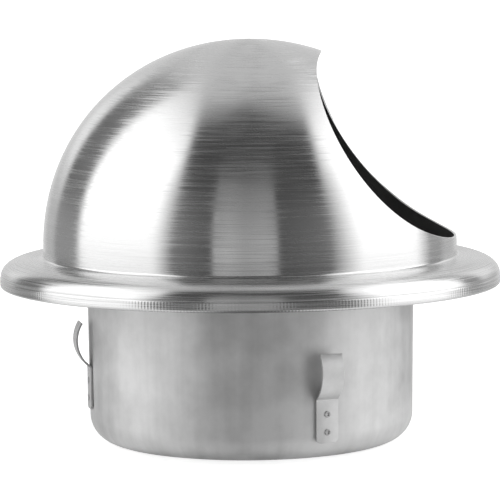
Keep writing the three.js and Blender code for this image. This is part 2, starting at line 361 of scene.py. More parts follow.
def fillet_path(corners, step):
    """An open path through (x, y, bend radius) corners, as 2D points; the ends have no radius."""
    places = [Vector(corner[:2]) for corner in corners]
    path = places[:1]
    for index, here in enumerate(places[1:-1], start=1):
        along_in, turn = corner_turn(places[index - 1], here, places[index + 1])
        radius = corners[index][2]
        point = here - along_in * radius * math.tan(abs(turn) / 2)
        steps = max(3, math.ceil(radius * abs(turn) / step))
        chord = 2 * radius * math.sin(abs(turn) / steps / 2)
        path.append(point.copy())
        for i in range(steps):
            heading = along_in.copy()
            heading.rotate(Matrix.Rotation(turn * (i + 0.5) / steps, 2))
            point = point + heading * chord
            path.append(point.copy())
    return path + places[-1:]


def bevelled(obj, width, segments):
    """Rounds the sharp edges of a cage and keeps its flats flat."""
    bevel = obj.modifiers.new("bevel", "BEVEL")
    bevel.width = width * MM
    bevel.segments = segments
    bevel.limit_method = "ANGLE"
    bevel.angle_limit = math.radians(50)
    bevel.harden_normals = True
    graph = bpy.context.evaluated_depsgraph_get()
    made = bpy.data.meshes.new_from_object(obj.evaluated_get(graph))
    obj.modifiers.clear()
    sharp = obj.data
    obj.data = made
    bpy.data.meshes.remove(sharp)
    return obj


def joined(name, *objects):
    """One object from several."""
    with bpy.context.temp_override(active_object=objects[0], selected_editable_objects=list(objects)):
        bpy.ops.object.join()
    objects[0].name = name
    return objects[0]


def stand_for(obj, body, slot, *nodes):
    """The object rides on a body and is shown in place of CAD nodes."""
    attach(obj, body)
    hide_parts(*nodes)


# ---- materials ----


class Nodes:
    """Short calls for building a material's or world's node tree."""

    def __init__(self, tree):
        self.tree = tree

    def add(self, kind, inputs=None, **settings):
        node = self.tree.nodes.new(kind)
        for name, value in settings.items():
            setattr(node, name, value)
        for name, value in (inputs or {}).items():
            self.feed(node.inputs[name], value)
        return node

    def feed(self, socket, value):
        if isinstance(value, bpy.types.NodeSocket):
            self.tree.links.new(value, socket)
        else:
            socket.default_value = value

    def math(self, operation, *values):
        node = self.tree.nodes.new("ShaderNodeMath")
        node.operation = operation
        for socket, value in zip(node.inputs, values):
            self.feed(socket, value)
        return node.outputs[0]

    def plus(self, first, second):
        return self.math("ADD", first, second)

    def minus(self, first, second):
        return self.math("SUBTRACT", first, second)

    def times(self, first, second):
        return self.math("MULTIPLY", first, second)

    def split(self, vector):
        return self.add("ShaderNodeSeparateXYZ", {"Vector": vector}).outputs

    def combine(self, x, y, z=0.0):
        return self.add("ShaderNodeCombineXYZ", {"X": x, "Y": y, "Z": z}).outputs[0]

    def ramp(self, value, low, high, to_low=0.0, to_high=1.0, interpolation="LINEAR"):
        """The value's stretch from low to high, spread over another and held beyond its ends."""
        node = self.add(
            "ShaderNodeMapRange",
            {"Value": value, "From Min": low, "From Max": high, "To Min": to_low, "To Max": to_high},
            interpolation_type=interpolation,
        )
        return node.outputs["Result"]

    def ease(self, *stretch):
        """A ramp that starts and ends softly."""
        return self.ramp(*stretch, interpolation="SMOOTHSTEP")

    def noise(self, vector, scale, detail=2.0, roughness=0.5, w=None):
        inputs = {"Vector": vector, "Scale": scale, "Detail": detail, "Roughness": roughness}
        if w is not None:
            inputs["W"] = w
        node = self.add("ShaderNodeTexNoise", inputs, noise_dimensions="3D" if w is None else "4D")
        return node.outputs["Fac"]

    def mix_color(self, factor, first, second):
        node = self.add("ShaderNodeMix", data_type="RGBA")
        self.feed(node.inputs["Factor"], factor)
        self.feed(node.inputs["A"], first)
        self.feed(node.inputs["B"], second)
        return node.outputs["Result"]


class MaterialNodes(Nodes):
    """The node tree of a new material, around its principled shader."""

    def __init__(self, name, **principled):
        self.material = bpy.data.materials.new(name)
        self.material.use_nodes = True
        super().__init__(self.material.node_tree)
        self.inputs = self.tree.nodes["Principled BSDF"].inputs
        for socket, value in principled.items():
            self.inputs[socket.replace("_", " ")].default_value = value

    def object_place(self):
        return self.add("ShaderNodeTexCoord").outputs["Object"]

    def bump(self, height, strength, distance_mm):
        inputs = {"Strength": strength, "Distance": distance_mm * MM, "Height": height}
        return self.add("ShaderNodeBump", inputs)

    def surface(self, level, roughness, bump=None):
        """Feeds a grey, a roughness and a bump to the shader."""
        color = self.add("ShaderNodeCombineColor", {"Red": level, "Green": level, "Blue": level})
        self.feed(self.inputs["Base Color"], color.outputs[0])
        self.feed(self.inputs["Roughness"], roughness)
        if bump:
            self.feed(self.inputs["Normal"], bump.outputs["Normal"])


def grey(level):
    return (level, level, level, 1)


class TurnedSurface(MaterialNodes):
    """A material of a turned piece, by the way around Z, the radius and the height, in metres."""

    def __init__(self, name, **principled):
        super().__init__(name, **principled)
        self.place = self.object_place()
        self.x, self.y, self.z = self.split(self.place)
        flat = {"Vector": self.combine(self.x, self.y)}
        self.radius = self.add("ShaderNodeVectorMath", flat, operation="LENGTH").outputs["Value"]
        self.around = self.add("ShaderNodeVectorMath", flat, operation="NORMALIZE").outputs["Vector"]

    def stretched(self, turns, per_metre):
        """A place whose round is a circle of radius turns and whose height is scaled by per_metre."""
        scaled = {"Vector": self.around, "Scale": turns}
        x, y, z = self.split(self.add("ShaderNodeVectorMath", scaled, operation="SCALE").outputs["Vector"])
        return self.combine(x, y, self.times(self.z, per_metre))

    def streaks(self, pitch_mm, turns, detail, roughness=0.5):
        """Noise drawn out around the axis; more turns give shorter lines."""
        per_metre = 1 / (pitch_mm * MM)
        across = self.times(self.radius, per_metre)
        return self.noise(self.stretched(turns, per_metre), 1.0, detail, roughness, w=across)

    def draw_marks(self, turns, length_mm, detail):
        """Noise drawn out along the axis, as on the wall of a drawn cup."""
        return self.noise(self.stretched(turns, 1 / (length_mm * MM)), 1.0, detail)

    def shine_around_z(self):
        """Turns the anisotropic shine to run around the axis."""
        tangent = self.add("ShaderNodeTangent", direction_type="RADIAL", axis="Z")
        self.feed(self.inputs["Tangent"], tangent.outputs["Tangent"])


def brushed_hood_steel():
    """Bright steel brushed around the axis, with pressed ticks on the folded edge."""
    nodes = TurnedSurface("hood_steel", Metallic=1.0, Anisotropic=0.9, Anisotropic_Rotation=0.25)
    fine = nodes.streaks(0.3, 3.0, 1.0)
    broad = nodes.streaks(1.6, 1.2, 3.0, 0.6)
    patches = nodes.streaks(6.0, 5.0, 2.0)
    # the brim is brushed more coarsely than the dome
    on_brim = nodes.ease(nodes.radius, (DOME_RADIUS + 0.5) * MM, (DOME_RADIUS + 2) * MM)
    brim_lines = nodes.times(on_brim, nodes.ramp(fine, 0.35, 0.65, -0.09, 0.07))
    tone = nodes.plus(nodes.times(fine, 0.28), nodes.times(broad, 0.08))
    level = nodes.plus(nodes.ramp(tone, 0.1, 0.26, 0.6, 0.67), brim_lines)
    line_roughness = nodes.plus(nodes.ramp(fine, 0.4, 0.7, 0.15, 0.31), nodes.times(on_brim, 0.05))
    patch_roughness = nodes.ramp(patches, 0.3, 0.7, -0.02, 0.04)
    height = nodes.plus(fine, nodes.times(broad, 0.15))
    height = nodes.times(height, nodes.plus(1.0, nodes.times(on_brim, 2.0)))
    brushed = nodes.bump(height, 0.5, 0.01)
    pressed = nodes.bump(hem_ticks(nodes), 1.0, 0.016)
    nodes.feed(pressed.inputs["Normal"], brushed.outputs["Normal"])
    nodes.surface(level, nodes.plus(line_roughness, patch_roughness), pressed)
    nodes.shine_around_z()
    return nodes.material


def hem_ticks(nodes):
    """Fine upright marks that the folding roller leaves on the hem band."""
    ticks_per_turn = 490.0
    turn = nodes.math("ARCTAN2", nodes.y, nodes.x)
    wave = nodes.math("SINE", nodes.times(turn, ticks_per_turn))
    fade = nodes.noise(nodes.place, 60.0, 1.0)
    on_band = nodes.ease(nodes.z, (HEM_BAND_Z - 0.5) * MM, HEM_BAND_Z * MM, 1.0, 0.0)
    at_rim = nodes.ease(nodes.radius, (RIM_RADIUS - 2) * MM, (RIM_RADIUS - 1) * MM)
    return nodes.times(wave, nodes.times(nodes.times(on_band, at_rim), fade))


def inner_hood_shaded_steel():
    """The unpolished side of the sheet: rougher than the outer face, and darker in colour as painted shade
    for the inside of the dome.
    """
    nodes = TurnedSurface("hood_steel_inside_painted_shade", Metallic=1.0)
    rings = nodes.streaks(1.2, 1.5, 3.0)
    cloud = nodes.noise(nodes.place, 35.0, 3.0)
    # the low grey of 0.24 to 0.34 is painted shade; the cloud only varies it at random
    nodes.surface(nodes.ramp(cloud, 0.3, 0.7, 0.24, 0.34), nodes.ramp(rings, 0.3, 0.7, 0.5, 0.62))
    return nodes.material


def drawn_steel():
    """Satin steel as it leaves the drawing die: faint upright marks and a cloudy surface."""
    nodes = TurnedSurface("drawn_steel", Metallic=1.0, Anisotropic=0.3)
    marks = nodes.draw_marks(14.0, 60.0, 5.0)
    cloud = nodes.noise(nodes.place, 60.0, 5.0, 0.55)
    grain = nodes.noise(nodes.place, 2500.0, 2.0)
    tone = nodes.plus(nodes.times(marks, 0.2), nodes.times(cloud, 0.8))
    level = nodes.ramp(tone, 0.36, 0.64, 0.53, 0.73)
    bump = nodes.bump(nodes.plus(marks, grain), 0.3, 0.01)
    nodes.surface(level, nodes.ramp(cloud, 0.3, 0.7, 0.5, 0.62), bump)
    nodes.shine_around_z()
    return nodes.material


def speckled_metal(name, low, high, rough_low, rough_high):
    """Plain matt metal with a fine grain and slow changes of tone."""
    nodes = MaterialNodes(name, Metallic=1.0)
    place = nodes.object_place()
    cloud = nodes.noise(place, 220.0, 3.0)
    grain = nodes.noise(place, 1800.0, 2.0)
    level = nodes.ramp(cloud, 0.3, 0.7, low, high)
    roughness = nodes.ramp(grain, 0.3, 0.7, rough_low, rough_high)
    nodes.surface(level, roughness, nodes.bump(grain, 0.25, 0.01))
    return nodes.material


def matt_rubber():
    nodes = MaterialNodes("seal_rubber", Specular_IOR_Level=0.35)
    grain = nodes.noise(nodes.object_place(), 1200.0, 3.0)
    level = nodes.ramp(grain, 0.3, 0.7, 0.018, 0.035)
    nodes.surface(level, nodes.ramp(grain, 0.3, 0.7, 0.7, 0.85), nodes.bump(grain, 0.4, 0.03))
    return nodes.material


HOOD_STEEL = brushed_hood_steel()
# the inside face's darker grey is painted shade
HOOD_INSIDE_SHADED = inner_hood_shaded_steel()
DRAWN_STEEL = drawn_steel()
SPRING_STEEL = speckled_metal("spring_steel", 0.6, 0.68, 0.42, 0.52)
# the clip rivets get a darker grey than the strip: painted shade for their dished heads
RIVET_STEEL_SHADED = speckled_metal("rivet_steel_painted_shade", 0.38, 0.48, 0.28, 0.38)
WIRE_STEEL = speckled_metal("wire_steel", 0.5, 0.6, 0.3, 0.42)
FLAP_ALUMINIUM = speckled_metal("flap_aluminium", 0.55, 0.63, 0.38, 0.5)
SEAL_RUBBER = matt_rubber()


# ---- hood ----

DOME_HEIGHT = DOME_TOP_Z - SHOULDER_Z


def dome_row(angle):
    """A point of the dome's outer face and its normal; angle runs from 0 on the axis to 90 degrees."""
    across = math.sin(angle) ** (2 / DOME_POWER)
    up = math.cos(angle) ** (2 / DOME_POWER)
    point = Vector((DOME_RADIUS * across, SHOULDER_Z + DOME_HEIGHT * up))
    normal = Vector((across ** (DOME_POWER - 1) / DOME_RADIUS, up ** (DOME_POWER - 1) / DOME_HEIGHT))
    return point, normal.normalized()


def dome_angle_at(z):
    return math.acos(min(1, max(0, (z - SHOULDER_Z) / DOME_HEIGHT)) ** (DOME_POWER / 2))


def mouth_cut(t):
    """The cut, drawn back by the radius of the sheet's broken edge, which fills the rest."""
    a, b, c, d = MOUTH_CUT
    point = a * (1 - t) ** 3 + b * 3 * t * (1 - t) ** 2 + c * 3 * t * t * (1 - t) + d * t**3
    along = (b - a) * (1 - t) ** 2 + (c - b) * 2 * t * (1 - t) + (d - c) * t**2
    return point + Vector((along.y, -along.x)).normalized() * EDGE_BREAK


def overhang(t):
    """How far the cut's point lies inside the dome's outer face; zero where the cut leaves it."""
    cut = mouth_cut(t)
    return dome_row(dome_angle_at(cut.y))[0].x - cut.x


def crossing(low, high):
    """Where overhang changes sign between two places on the cut."""
    for _ in range(60):
        middle = (low + high) / 2
        if (overhang(middle) > 0) == (overhang(high) > 0):
            high = middle
        else:
            low = middle
    return (low + high) / 2


def mouth_rows():
    """Rows of the dome beside the mouth, evenly spaced on its edge.

    Each is (dome angle, half-angle of the opening).
    """
    step_mm = 2.0
    count = 4000
    top, bottom = crossing(0.0, 0.3), crossing(0.7, 1.0)
    samples = []
    for i in range(count + 1):
        t = top + (bottom - top) * i / count
        cut = mouth_cut(t)
        angle = dome_angle_at(cut.y)
        radius = dome_row(angle)[0].x
        opening = math.acos(min(1, cut.x / radius)) if 0 < i < count else 0.0
        edge = Vector((radius * math.cos(opening), radius * math.sin(opening), cut.y))
        samples.append((angle, opening, edge))
    rows = [samples[0]]
    run = 0.0
    for before, here in zip(samples, samples[1:]):
        run += (here[2] - before[2]).length
        if run >= step_mm:
            rows.append(here)
            run = 0.0
    if run < step_mm / 2:
        rows.pop()
    rows.append(samples[-1])
    return [(angle, opening) for angle, opening, edge in rows]


def arc_rows(centre, radius, start_deg, turn_deg, side):
    """Rows along an arc; side is -1 where the face looks towards the arc's centre."""
    steps = 8
    rows = []
    for i in range(steps + 1):
        outwards = unit_at(math.radians(start_deg + turn_deg * i / steps))
        rows.append((centre + outwards * radius, outwards * side))
    return rows


def brim_rows():
    """The brim's outer face from the root to the folded edge, with its inner end turned under."""
    root = Vector((DOME_RADIUS + BRIM_ROOT_FILLET, BRIM_TOP_Z + BRIM_ROOT_FILLET))
    rows = arc_rows(root, BRIM_ROOT_FILLET, 180, 90, -1)
    reach = RIM_RADIUS - BRIM_ROLL_RADIUS
    drop = BRIM_TOP_Z - BAND_LOW_Z
    # heights as shares of the drop: over the roll, through the groove, and down the upright side
    heights = [1 - (i / 30) ** 2 for i in range(26)]
    band = (HEM_BAND_Z - BAND_LOW_Z) / drop
    half = 3 * HEM_GROOVE_WIDTH / drop
    heights = [h for h in heights if h > band + half]
    heights += [band + half - half * i / 9 for i in range(19)]
    heights += [(band - half) * (1 - i / 5) for i in range(1, 6)]
    for up in heights:
        across = (1 - up**BRIM_POWER) ** (1 / BRIM_POWER)
        normal = Vector((across ** (BRIM_POWER - 1) / reach, up ** (BRIM_POWER - 1) / drop)).normalized()
        point = Vector((BRIM_ROLL_RADIUS + reach * across, BAND_LOW_Z + drop * up))
        place = (point.y - HEM_BAND_Z) / HEM_GROOVE_WIDTH
        groove = HEM_GROOVE_DEPTH * math.exp(-place * place)
        slope = 2 * place / HEM_GROOVE_WIDTH * groove
        point.x -= groove
        rows.append((point, Vector((normal.x, normal.y - slope * normal.x)).normalized()))
    hem = Vector((RIM_RADIUS - HEM_RADIUS, WALL_Z + HEM_RADIUS))
    rows += arc_rows(hem, HEM_RADIUS, 0, -90, 1)
    rows.append((Vector((HEM_INNER_RADIUS + SHEET / 2, WALL_Z)), Vector((0, -1))))
    return rows


def hood_rows():
    """All rows of the outer face: (point, normal, half-angle of the mouth's opening)."""
    beside_mouth = mouth_rows()
    first, last = beside_mouth[0][0], beside_mouth[-1][0]
    above = 16
    below = 6
    rows = [(*dome_row(first * i / above), 0.0) for i in range(1, above)]
    rows += [(*dome_row(angle), opening) for angle, opening in beside_mouth]
    rows += [(*dome_row(last + (math.pi / 2 - last) * i / below), 0.0) for i in range(1, below + 1)]
    rows += [(point, normal, 0.0) for point, normal in brim_rows()]
    return rows


# Around the two broken corners of a cut edge: (depth of the corner's centre, degrees from the normal).
EDGE_STEPS = [(EDGE_BREAK, angle) for angle in (22.5, 45, 67.5, 90)]
EDGE_STEPS += [(SHEET - EDGE_BREAK, angle) for angle in (90, 112.5, 135, 157.5)]


# the second material is the inside face, rougher and darker in colour as painted shade
BRIGHT, DULL_AND_SHADED = 0, 1  # places in the hood's list of materials


class HoodMesh:
    """The hood's two faces as rows of points around the axis, open beside the mouth."""

    def __init__(self):
        self.points = []
        self.normals = []
        self.faces = []
        self.kinds = []

    def add_point(self, point, normal):
        self.points.append(point)
        self.normals.append(normal)
        return len(self.points) - 1

    def add_row(self, point, normal, opening):
        """Indices of a row's points; a row that isn't open ends on its own first point."""
        count = AROUND + 1 if opening else AROUND
        row = []
        for j in range(count):
            angle = opening + 2 * (math.pi - opening) * j / AROUND
            row.append(self.add_point(about_z(point, angle), about_z(normal, angle)))
        return row if opening else row + row[:1]

    def add_strip(self, row, other, kind):
        for j in range(len(row) - 1):
            self.faces.append((row[j], row[j + 1], other[j + 1], other[j]))
            self.kinds.append(kind)

    def add_face_of_sheet(self, rows, depth, kind):
        """One face of the sheet, from the dome's top down, and the indices of its rows."""
        side = -1 if depth else 1
        top = self.add_point((0, 0, DOME_TOP_Z - depth), (0, 0, side))
        made = [self.add_row(p - n * depth, n * side, opening) for p, n, opening in rows]
        for j in range(AROUND):
            self.faces.append((top, made[0][j], made[0][j + 1]))
            self.kinds.append(kind)
        for row, other in zip(made, made[1:]):
            self.add_strip(row, other, kind)
        return made

    def add_fold_end(self, outer_row, inner_row):
        """The round end of the sheet under the brim."""
        centre = Vector((HEM_INNER_RADIUS + SHEET / 2, WALL_Z + SHEET / 2))
        rows = [outer_row]
        for i in range(1, 6):
            outwards = unit_at(math.radians(-90 - 30 * i))
            rows.append(self.add_row(centre + outwards * SHEET / 2, outwards, 0.0))
        rows.append(inner_row)
        for row, other in zip(rows, rows[1:]):
            self.add_strip(row, other, BRIGHT)

    def add_mouth_edge(self, rows, outer, inner):
        """The cut edge around the mouth, with its corners broken."""
        open_rows = [i for i, row in enumerate(rows) if row[2]]
        first, last = open_rows[0] - 1, open_rows[-1] + 1
        down = list(range(first, last + 1))
        loop = [(i, 0) for i in down] + [(i, -1) for i in reversed(down[1:-1])]
        outer_loop = [outer[i][j] for i, j in loop]
        inner_loop = [inner[i][j] for i, j in loop]
        edge = [Vector(self.points[k]) for k in outer_loop]
        middle = sum(edge, Vector()) / len(edge)
        strips = [[] for _ in EDGE_STEPS]
        for place, (along, k) in enumerate(zip(tangents(edge, closed=True), outer_loop)):
            normal = Vector(self.normals[k]).normalized()
            into = normal.cross(along).normalized()
            if into.dot(middle - edge[place]) < 0:
                into = -into
            for strip, (depth, angle) in zip(strips, EDGE_STEPS):
                turn = math.radians(angle)
                direction = normal * math.cos(turn) + into * math.sin(turn)
                point = edge[place] - normal * depth + direction * EDGE_BREAK
                strip.append(self.add_point(point, direction))
        chain = [outer_loop, *strips, inner_loop]
        for row, other in zip(chain, chain[1:]):
            self.add_strip([*row, row[0]], [*other, other[0]], BRIGHT)


def hood_shell():
    rows = hood_rows()
    hood = HoodMesh()
    outer = hood.add_face_of_sheet(rows, 0, BRIGHT)
    inner = hood.add_face_of_sheet(rows, SHEET, DULL_AND_SHADED)
    hood.add_fold_end(outer[-1], inner[-1])
    hood.add_mouth_edge(rows, outer, inner)
    steels = [HOOD_STEEL, HOOD_INSIDE_SHADED]
    return new_object("hood", hood.points, hood.faces, hood.normals, steels, hood.kinds)


stand_for(hood_shell(), "cowl", "hood_steel", "hood_shell")

# ---- wall plate and duct collar ----

PLATE_LOW, PLATE_HIGH = box_mm("wall_plate")
HALF_EDGE = SHEET * 0.45


def flat_ring(inner, outer, low, high, corner):
    return [(inner, low, corner), (outer, low, corner), (outer, high, corner), (inner, high, corner)]


wall_plate = turned(
    "wall_plate_steel",
    rounded_outline(flat_ring(PLATE_INNER_RADIUS, PLATE_OUTER_RADIUS, PLATE_LOW.z, PLATE_HIGH.z, 0.25), 30),
    DRAWN_STEEL,
)
stand_for(wall_plate, "cowl", "drawn_steel", "wall_plate")


def collar_radius_at(z):
    return COLLAR_RADIUS - COLLAR_DRAFT * (WALL_Z - z) / (WALL_Z - COLLAR_CORNER_RADIUS)


def collar_outline():
    foot = collar_radius_at(COLLAR_CORNER_RADIUS)
    top_z = COLLAR_LIP_Z + SHEET
    return rounded_outline(
        [
            (COLLAR_MOUTH_RADIUS, 0, HALF_EDGE),
            (foot, 0, COLLAR_CORNER_RADIUS),
            (COLLAR_RADIUS, COLLAR_LIP_Z, LIP_BEND_RADIUS),
            (COLLAR_LIP_RADIUS, COLLAR_LIP_Z, HALF_EDGE),
            (COLLAR_LIP_RADIUS, top_z, HALF_EDGE),
            (COLLAR_RADIUS - SHEET, top_z, LIP_BEND_RADIUS + SHEET),
            (foot - SHEET, SHEET, COLLAR_CORNER_RADIUS - SHEET),
            (COLLAR_MOUTH_RADIUS, SHEET, HALF_EDGE),
        ],
        finest_deg=8,
    )


stand_for(turned("collar", collar_outline(), DRAWN_STEEL, AROUND), "cowl", "drawn_steel", "duct_collar")

# ---- spring clips ----


def clip_path(collar_face):
    """The strip's middle line as (outwards, up): a straight tab, a bend and the bowed tongue."""
    middle = collar_face + CLIP_SEAT_GAP + CLIP_THICKNESS / 2
    centre_out = collar_face + CLIP_BOW_REACH - CLIP_BOW_RADIUS
    lean = math.acos((middle - centre_out) / CLIP_BOW_RADIUS)
    crease_z = CLIP_TAB_HEIGHT + CLIP_SPLIT
    centre = Vector((centre_out, crease_z + CLIP_BOW_RADIUS * math.sin(lean)))
    start = -lean + CLIP_BEND_RADIUS / CLIP_BOW_RADIUS / 2  # leaves room for the bend
    end = math.radians(CLIP_TIP_DEG)
    bow = [start + (end - start) * i / 40 for i in range(41)]
    tongue = [centre + unit_at(angle) * CLIP_BOW_RADIUS for angle in bow]
    tab_z = [0, 0.1, 0.25, 0.45, 0.7, 1.0, CLIP_TAB_CORNER, 3, 5, 7, 9, 11]
    tab = [Vector((middle, z)) for z in tab_z]
    corners = [(middle, 11.5), (middle, crease_z, CLIP_BEND_RADIUS), tuple(tongue[0])]
    bend = fillet_path(corners, step=0.12)
    return tab + bend[:-1] + tongue


def clip_strip(name, collar_face):
    """One bent strip, as a cage with rounded edges, in its own frame: outwards is -Y."""
    path = clip_path(collar_face)
    directions = tangents(path)
    columns = [-1, -0.6, -0.2, 0.2, 0.6, 1]
    ring = [(side, -1) for side in columns] + [(side, 1) for side in reversed(columns)]
    points = []
    for place, along in zip(path, directions):
        half = CLIP_WIDTH / 2
        if place.y < CLIP_TAB_CORNER:
            short = CLIP_TAB_CORNER - place.y
            half -= CLIP_TAB_CORNER - math.sqrt(CLIP_TAB_CORNER**2 - short**2)
        wrapped = min(1, max(0, (CLIP_TAB_HEIGHT + 1.5 - place.y) / 3))  # the tab follows the collar
        across = Vector((along.y, -along.x)) * CLIP_THICKNESS / 2
        for side, face in ring:
            flat = place + across * face
            x = side * half
            drop = COLLAR_RADIUS - math.sqrt(COLLAR_RADIUS**2 - x**2)
            points.append((x, -flat.x + drop * wrapped, flat.y))
    return bevelled(cage(name, points, len(ring), SPRING_STEEL), 0.14, 3)


def clip_rivet(name, collar_face, height, collar_outer):
    """A dished head outside the strip, a shank, and a flat tail inside the collar."""
    tail = collar_outer - SHEET - 0.08
    face = collar_face + CLIP_SEAT_GAP + CLIP_THICKNESS - 0.02
    dish = 0.36
    corners = [
        (0, tail - 0.75, 0),
        (RIVET_TAIL, tail - 0.75, 0.15),
        (RIVET_TAIL, tail - 0.3, 0.1),
        (RIVET_SHANK, tail - 0.3, 0.05),
        (RIVET_SHANK, face, 0.05),
        (RIVET_HEAD, face, 0.08),
        (RIVET_HEAD - 0.1, face + 0.24, 0.1),
        (0.5, face + 0.24, 0.12),
        (dish, face + 0.02, 0.12),
        (0, face + 0.02, 0),
    ]
    # the rivet's darker grey is painted shade for the dish
    rivet = spun(name, corners, RIVET_STEEL_SHADED)
    rivet.data.transform(Matrix.Translation((0, 0, height * MM)) @ Matrix.Rotation(math.pi / 2, 4, "X"))
    return rivet


def spring_clip(clip, azimuth_deg):
    """A strip that bends above its tab, and its two rivets."""
    foot_z = box_mm(f"{clip}_tab")[0].z
    collar_face = collar_radius_at(foot_z + CLIP_TAB_HEIGHT)
    turn = Matrix.Rotation(math.radians(azimuth_deg), 4, "Z")
    place = Matrix.Translation((0, 0, foot_z * MM)) @ turn
    strip = clip_strip(f"{clip}_strip", collar_face)
    strip.data.transform(place)
    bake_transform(strip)
    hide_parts(f"{clip}_tab", f"{clip}_tongue")
    for part, height in zip(("lower", "upper"), RIVET_HEIGHTS):
        rivet = clip_rivet(f"{clip}_{part}_rivet", collar_face, height, collar_radius_at(foot_z + height))
        rivet.data.transform(place)
        stand_for(rivet, "cowl", "spring_steel", f"{clip}_rivet_{part}")


for clip_number, clip_azimuth in enumerate(CLIP_AZIMUTHS_DEG, start=1):
    spring_clip(f"clip_{clip_number}", clip_azimuth)

# ---- bird screen ----

SCREEN_LOW, SCREEN_HIGH = box_mm("bird_screen")
SCREEN_MIDDLE_Z = (SCREEN_LOW.z + SCREEN_HIGH.z) / 2


def screen_wire(name, place, along_x, phase):
    """A wire that passes over and under the ones that it crosses."""
    reach = math.sqrt((SCREEN_RADIUS - SCREEN_RIM_WIDTH / 2) ** 2 - place**2)
    steps = 96
    path = []
    for i in range(steps + 1):
        run = -reach + 2 * reach * i / steps
        rise = SCREEN_WIRE / 2 * math.cos(math.pi * run / WIRE_PITCH) * phase
        z = SCREEN_MIDDLE_Z + rise
        path.append(Vector((run, place, z)) if along_x else Vector((place, run, z)))
    return sweep(name, path, upright, circle_outline(SCREEN_WIRE / 2, 8), WIRE_STEEL, end_round=0.1)


def bird_screen():
    inner = SCREEN_RADIUS - SCREEN_RIM_WIDTH
    section = flat_ring(inner, SCREEN_RADIUS, SCREEN_LOW.z, SCREEN_HIGH.z, 0.45)
    rim = turned("screen_rim", rounded_outline(section, 22), WIRE_STEEL)
    wires = []
    for step, place in enumerate(WIRE_PLACES):
        phase = 1 if step % 2 else -1
        wires.append(screen_wire(f"wire_x_{step}", place, True, phase))
        wires.append(screen_wire(f"wire_y_{step}", place, False, -phase))
    return joined("bird_screen_wire", rim, *wires)


stand_for(bird_screen(), "cowl", "wire_steel", "bird_screen")


def screen_ring():
    half = RING_OPENING_DEG / 2
    z = box_mm("screen_ring")[1].z - RING_WIRE / 2
    path = around_axis(RING_RADIUS, z, half, 360 - half, 140)
    return sweep("retaining_ring", path, upright, circle_outline(RING_WIRE / 2), WIRE_STEEL, end_round=0.35)


stand_for(screen_ring(), "cowl", "wire_steel", "screen_ring")

# ---- back-draught damper ----

seat = turned(
    "damper_seat_ring",
    rounded_outline(
        [
            (SEAT_OUTER_RADIUS - SHEET, SEAT_LOW.z, HALF_EDGE),
            (SEAT_OUTER_RADIUS, SEAT_LOW.z, HALF_EDGE),
            (SEAT_OUTER_RADIUS, SEAT_HIGH.z, 2 * SHEET),
            (SEAT_HOLE_RADIUS, SEAT_HIGH.z, HALF_EDGE),
            (SEAT_HOLE_RADIUS, SEAT_HIGH.z - SHEET, HALF_EDGE),
            (SEAT_OUTER_RADIUS - SHEET, SEAT_HIGH.z - SHEET, SHEET),
        ]
    ),
    DRAWN_STEEL,
)
stand_for(seat, "cowl", "drawn_steel", "damper_seat")


def damper_seal():
    middle = (SEAL_INNER + SEAL_OUTER) / 2
    z = (SEAL_LOW.z + SEAL_HIGH.z) / 2
    start = 180 + SEAL_OPENING_DEG / 2
    path = around_axis(middle, z, start, start + 360 - SEAL_OPENING_DEG, 130)
    outline = bar_outline(SEAL_OUTER - SEAL_INNER, SEAL_HIGH.z - SEAL_LOW.z, 0.4)
    return sweep("seal_strip", path, upright, outline, SEAL_RUBBER, end_round=0.3)


stand_for(damper_seal(), "cowl", "seal_rubber", "damper_seal")


def flap_disc():
    """A stamped disc with one straight edge; loops of its outline step inwards over a raised bead."""
    chord = math.acos(FLAP_CHORD_X / FLAP_RADIUS)
    angles = [-chord + 2 * chord * i / 150 for i in range(151)]
    outline = [Vector((FLAP_RADIUS * math.cos(a), FLAP_RADIUS * math.sin(a))) for a in angles]
    half_chord = outline[-1].y
    outline += [Vector((FLAP_CHORD_X, half_chord * (1 - 2 * i / 24))) for i in range(1, 24)]
    # (share of the outline's size, height above the flap's underside) over the top, from the edge in
    bead = [(1.0, 0.5), (0.997, 0.8), (0.93, 0.8), (0.91, 0.95), (0.895, 1.35), (0.88, 1.5)]
    bead += [(0.85, 1.5), (0.835, 1.35), (0.82, 0.95), (0.8, 0.8), (0.4, 0.8)]
    under = [(share, height - FLAP_THICKNESS) for share, height in reversed(bead[2:])]
    loops = [*under, (0.997, 0.0), (1.0, 0.3), *bead]
    points = []
    for share, height in loops:
        points += [(p.x * share, p.y * share, FLAP_Z + height) for p in outline]
    count = len(outline)
    top_loop = len(points) - count
    points += [(0, 0, FLAP_Z), (0, 0, FLAP_Z + FLAP_THICKNESS)]
    faces = []
    for j in range(count):
        k = (j + 1) % count
        faces.append((j, k, len(points) - 2))
        faces.append((top_loop + j, top_loop + k, len(points) - 1))
        for here in range(0, top_loop, count):
            faces.append((here + j, here + k, here + count + k, here + count + j))
    return new_object("flap_disc", points, faces, None, [FLAP_ALUMINIUM])


def square_to_pin(direction):
    return direction.cross(Vector((0, 1, 0)))


def knuckle(side):
    """A tongue of the flap that curls round the pin."""
    radius = KNUCKLE_MIDDLE_RADIUS
    middle_z = FLAP_Z + FLAP_THICKNESS / 2
    start, end = math.radians(-25), math.radians(-325)
    curl = [start + (end - start) * i / 36 for i in range(37)]
    ring = [Vector((PIN_X + radius * math.cos(a), PIN_Z + radius * math.sin(a))) for a in curl]
    corners = [(FLAP_CHORD_X + 2.2, middle_z), (ring[0].x + 0.45, middle_z, 0.3), tuple(ring[0])]
    lead = fillet_path(corners, step=0.1)
    path = [Vector((p.x, side * KNUCKLE_CENTRE_Y, p.y)) for p in lead[:-1] + ring]
    outline = bar_outline(KNUCKLE_WIDTH, KNUCKLE_THICKNESS, 0.15)
    return sweep(f"knuckle_{side}", path, square_to_pin, outline, FLAP_ALUMINIUM, end_round=0.15)


flap = joined("backdraught_flap", flap_disc(), knuckle(1), knuckle(-1))
stand_for(flap, "damper", "flap_aluminium", "damper_flap")


